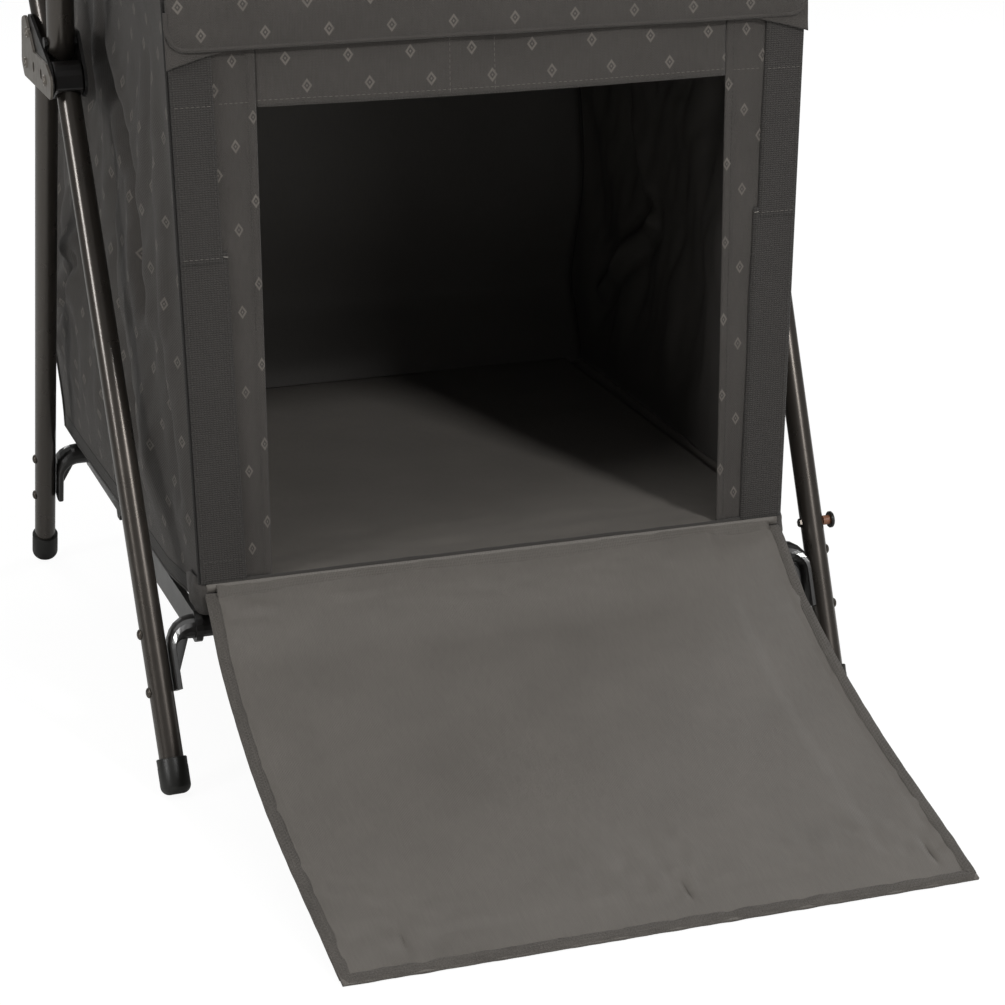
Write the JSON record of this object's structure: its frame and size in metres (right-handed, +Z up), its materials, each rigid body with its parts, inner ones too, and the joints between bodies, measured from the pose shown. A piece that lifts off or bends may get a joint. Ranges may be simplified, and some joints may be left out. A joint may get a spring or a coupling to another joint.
{
  "type": "fabric camp kitchen cupboard",
  "caption": "Folding camp cupboard: a fabric cabinet with shelf and let-down doors on an X frame of tube, with a worktop",
  "frame": {"origin": "on the ground, in the middle of the footprint with the lower door let down", "axes": "+X to the cupboard's right seen from its front, +Y to its back, +Z up"},
  "size_m": [0.6514, 0.919, 0.9878],
  "materials": {
    "tube_paint": "bronze-grey gloss powder coat on steel tube",
    "bar_paint": "black satin powder coat",
    "hub_steel": "pressed steel plate, plain",
    "black_plastic": "black moulded nylon",
    "foot_rubber": "black moulded rubber",
    "stud_plastic": "brown moulded head on a steel bolt",
    "shell_fabric": "dark charcoal-brown coated woven polyester, small pale woven motif",
    "lining_fabric": "plain grey-brown coated woven polyester",
    "webbing": "dark woven webbing",
    "shelf_board": "fabric-covered stiff board",
    "worktop_laminate": "dark grey laminate board",
    "edge_aluminium": "satin aluminium angle"
  },
  "bodies": {
    "hubs": {"hub_body_left": "black_plastic", "hub_body_right": "black_plastic", "hub_plate_left": "hub_steel", "hub_plate_right": "hub_steel"},
    "cabinet": {"side_wall_left": "shell_fabric", "side_wall_right": "shell_fabric", "floor_panel": "lining_fabric", "mid_shelf": "shelf_board", "top_panel": "shell_fabric"},
    "legs_front": {"leg_front_left": "tube_paint", "leg_front_right": "tube_paint", "boot_front_left": "black_plastic", "boot_front_right": "black_plastic", "foot_front_left": "foot_rubber", "foot_front_right": "foot_rubber", "base_bar_front": "bar_paint", "transport_stud": "stud_plastic"},
    "legs_rear": {"leg_rear_left": "tube_paint", "leg_rear_right": "tube_paint", "boot_rear_left": "black_plastic", "boot_rear_right": "black_plastic", "foot_rear_left": "foot_rubber", "foot_rear_right": "foot_rubber", "base_bar_rear": "bar_paint"},
    "uprights_front": {"upright_front_left": "tube_paint", "upright_front_right": "tube_paint", "plug_front_left": "black_plastic", "plug_front_right": "black_plastic", "saddle_front_left": "black_plastic", "saddle_front_right": "black_plastic", "loop_front_left": "webbing", "loop_front_right": "webbing", "top_bar_front": "bar_paint"},
    "uprights_rear": {"upright_rear_left": "tube_paint", "upright_rear_right": "tube_paint", "plug_rear_left": "black_plastic", "plug_rear_right": "black_plastic", "saddle_rear_left": "black_plastic", "saddle_rear_right": "black_plastic", "loop_rear_left": "webbing", "loop_rear_right": "webbing", "top_bar_rear": "bar_paint"},
    "stretchers_front": {"stretcher_front_left": "bar_paint", "stretcher_front_right": "bar_paint"},
    "stretchers_rear": {"stretcher_rear_left": "bar_paint", "stretcher_rear_right": "bar_paint"},
    "front_face": {"stile_left": "shell_fabric", "stile_right": "shell_fabric", "webbing_left": "webbing", "webbing_right": "webbing", "header_strip": "shell_fabric", "top_strip": "shell_fabric", "mid_band": "shell_fabric"},
    "lower_door": {"lower_door": "lining_fabric"},
    "upper_door": {"upper_door": "shell_fabric"},
    "back_face": {"back_wall": "shell_fabric"},
    "worktop": {"worktop_panel": "worktop_laminate", "worktop_edge": "edge_aluminium"}
  },
  "joints": [
    {"name": "fold", "type": "hinge", "parent": "hubs", "child": "legs_front", "pos_m": [0, 0.11997, 0.515], "axis": [1, 0, 0], "range_deg": [0, 25], "deforming": ["side_wall_left", "side_wall_right", "floor_panel", "mid_shelf", "top_panel", "stile_left", "stile_right", "webbing_left", "webbing_right", "header_strip", "top_strip", "mid_band", "back_wall"]},
    {"name": "rear_leg_fold", "type": "hinge", "parent": "hubs", "child": "legs_rear", "pos_m": [0, 0.20677, 0.515], "axis": [1, 0, 0], "range_deg": [-25, 0]},
    {"name": "front_upright_fold", "type": "hinge", "parent": "hubs", "child": "uprights_front", "pos_m": [0, 0.13487, 0.542], "axis": [1, 0, 0], "range_deg": [-25, 0]},
    {"name": "rear_upright_fold", "type": "hinge", "parent": "hubs", "child": "uprights_rear", "pos_m": [0, 0.19187, 0.542], "axis": [1, 0, 0], "range_deg": [0, 25]},
    {"name": "front_stretcher_fold", "type": "hinge", "parent": "legs_front", "child": "stretchers_front", "pos_m": [0, -0.06961, 0.117], "axis": [1, 0, 0], "range_deg": [0, 53.36]},
    {"name": "rear_stretcher_fold", "type": "hinge", "parent": "legs_rear", "child": "stretchers_rear", "pos_m": [0, 0.39634, 0.117], "axis": [1, 0, 0], "range_deg": [-53.36, 0]},
    {"name": "cabinet_lift", "type": "slide", "parent": "hubs", "child": "cabinet", "axis": [0, 0, 1], "range_m": [0, 0.0453]},
    {"name": "front_face_gather", "type": "slide", "parent": "cabinet", "child": "front_face", "axis": [0, 1, 0], "range_m": [0, 0.1703]},
    {"name": "back_face_gather", "type": "slide", "parent": "cabinet", "child": "back_face", "axis": [0, -1, 0], "range_m": [0, 0.179]},
    {"name": "worktop_lift", "type": "slide", "parent": "hubs", "child": "worktop", "axis": [0, 0, 1], "range_m": [0, 0.0961]},
    {"name": "lower_door_hinge", "type": "hinge", "parent": "front_face", "child": "lower_door", "pos_m": [0, -0.08321, 0.147], "axis": [1, 0, 0], "range_deg": [-111, 0]},
    {"name": "upper_door_hinge", "type": "hinge", "parent": "front_face", "child": "upper_door", "pos_m": [0, -0.08661, 0.6076], "axis": [1, 0, 0], "range_deg": [0, 165]}
  ],
  "couplings": [
    {"joint": "rear_leg_fold", "follows": "fold", "ratio": -1},
    {"joint": "front_upright_fold", "follows": "fold", "ratio": -1},
    {"joint": "rear_upright_fold", "follows": "fold", "ratio": 1},
    {"joint": "front_stretcher_fold", "follows": "fold", "ratio": 2.134},
    {"joint": "rear_stretcher_fold", "follows": "fold", "ratio": -2.134},
    {"joint": "cabinet_lift", "follows": "fold", "m_per_rad": 0.1036},
    {"joint": "front_face_gather", "follows": "fold", "m_per_rad": 0.39},
    {"joint": "back_face_gather", "follows": "fold", "m_per_rad": 0.41},
    {"joint": "worktop_lift", "follows": "fold", "m_per_rad": 0.22}
  ]
}
